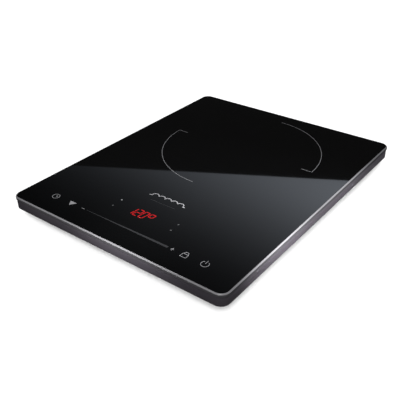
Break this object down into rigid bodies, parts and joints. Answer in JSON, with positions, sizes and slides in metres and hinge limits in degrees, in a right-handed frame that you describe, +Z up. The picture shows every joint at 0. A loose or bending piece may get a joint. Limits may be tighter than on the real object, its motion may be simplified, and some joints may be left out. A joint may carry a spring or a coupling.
{
  "type": "electric induction cooktop",
  "caption": "Slim portable induction cooktop: black glass plate on a dark metal frame, touch controls along one short edge, tapered base pan on rubber feet.",
  "frame": {"origin": "middle of the outline, at the height of the surface that the feet stand on", "axes": "+X to the right for a person at the controls, +Y away from the control edge along the long side, +Z up"},
  "size_m": [0.28, 0.35, 0.033],
  "materials": {
    "black_glass": "polished black glass-ceramic",
    "silicone_seal": "matte black silicone",
    "brushed_frame": "dark grey anodised, finely brushed upwards",
    "pan_moulding": "black, fine spark-eroded texture",
    "gland_rubber": "matte black",
    "foot_rubber": "matte dark grey",
    "zinc_steel": "zinc plated",
    "carrier_moulding": "heat-resistant moulding, matte",
    "litz_wire": "enamelled copper litz",
    "ferrite": "sintered, matte dark grey",
    "mica": "pressed mica, mottled",
    "sensor_silicone": "white silicone",
    "lead_sleeve": "woven glass-fibre sleeve",
    "fan_moulding": "black moulding, low sheen",
    "stator_steel": "varnished laminations",
    "power_laminate": "phenolic paper laminate",
    "heatsink_aluminium": "extruded, plain",
    "epoxy_package": "moulded epoxy",
    "capacitor_box": "yellow flame-retardant box",
    "choke_copper": "enamelled copper on a ring core",
    "fuse_ceramic": "white ceramic tube with plated caps",
    "capacitor_sleeve": "dark blue shrink sleeve",
    "transformer_core": "ferrite core and taped winding",
    "terminal_moulding": "green terminal block",
    "ribbon_pvc": "grey ribbon",
    "control_laminate": "green solder mask",
    "display_case": "black display with a red filter",
    "lamp_epoxy": "water-clear epoxy",
    "shield_moulding": "matte black",
    "film_polyimide": "amber film with printed electrodes"
  },
  "bodies": {
    "body": {"air_duct": "pan_moulding", "base_pan": "pan_moulding", "bridge_rectifier": "epoxy_package", "buzzer": "epoxy_package", "cable_gland": "gland_rubber", "choke": "choke_copper", "coil_carrier": "carrier_moulding", "coil_lead_inner": "lead_sleeve", "coil_lead_outer": "lead_sleeve", "coil_screw_1": "zinc_steel", "coil_screw_2": "zinc_steel", "coil_screw_3": "zinc_steel", "coil_sensor": "sensor_silicone", "coil_winding": "litz_wire", "control_board": "control_laminate", "control_board_screw_1": "zinc_steel", "control_board_screw_2": "zinc_steel", "dc_link_capacitor": "capacitor_box", "display_module": "display_case", "fan_housing": "fan_moulding", "fan_screw_1": "zinc_steel", "fan_screw_2": "zinc_steel", "fan_stator": "stator_steel", "ferrite_1": "ferrite", "ferrite_2": "ferrite", "ferrite_3": "ferrite", "ferrite_4": "ferrite", "ferrite_5": "ferrite", "ferrite_6": "ferrite", "foot_1": "foot_rubber", "foot_2": "foot_rubber", "foot_3": "foot_rubber", "foot_4": "foot_rubber", "frame_band": "brushed_frame", "fuse": "fuse_ceramic", "glass_plate": "black_glass", "glass_seal": "silicone_seal", "heatsink": "heatsink_aluminium", "housing_screw_1": "zinc_steel", "housing_screw_2": "zinc_steel", "housing_screw_3": "zinc_steel", "housing_screw_4": "zinc_steel", "igbt": "epoxy_package", "indicator_led_1": "lamp_epoxy", "indicator_led_2": "lamp_epoxy", "indicator_led_3": "lamp_epoxy", "indicator_led_4": "lamp_epoxy", "light_shield": "shield_moulding", "mains_terminal": "terminal_moulding", "mica_sheet": "mica", "power_board": "power_laminate", "power_board_screw_1": "zinc_steel", "power_board_screw_2": "zinc_steel", "resonant_capacitor": "capacitor_box", "ribbon_cable": "ribbon_pvc", "smoothing_capacitor": "capacitor_sleeve", "supply_transformer": "transformer_core", "touch_film": "film_polyimide", "x2_capacitor": "capacitor_box"},
    "fan_rotor": {"fan_rotor": "fan_moulding"}
  },
  "joints": [
    {"name": "fan_spin", "type": "hinge", "parent": "body", "child": "fan_rotor", "pos_m": [-0.076, -0.064, 0.0139], "axis": [0, 0, 1], "continuous": true}
  ]
}
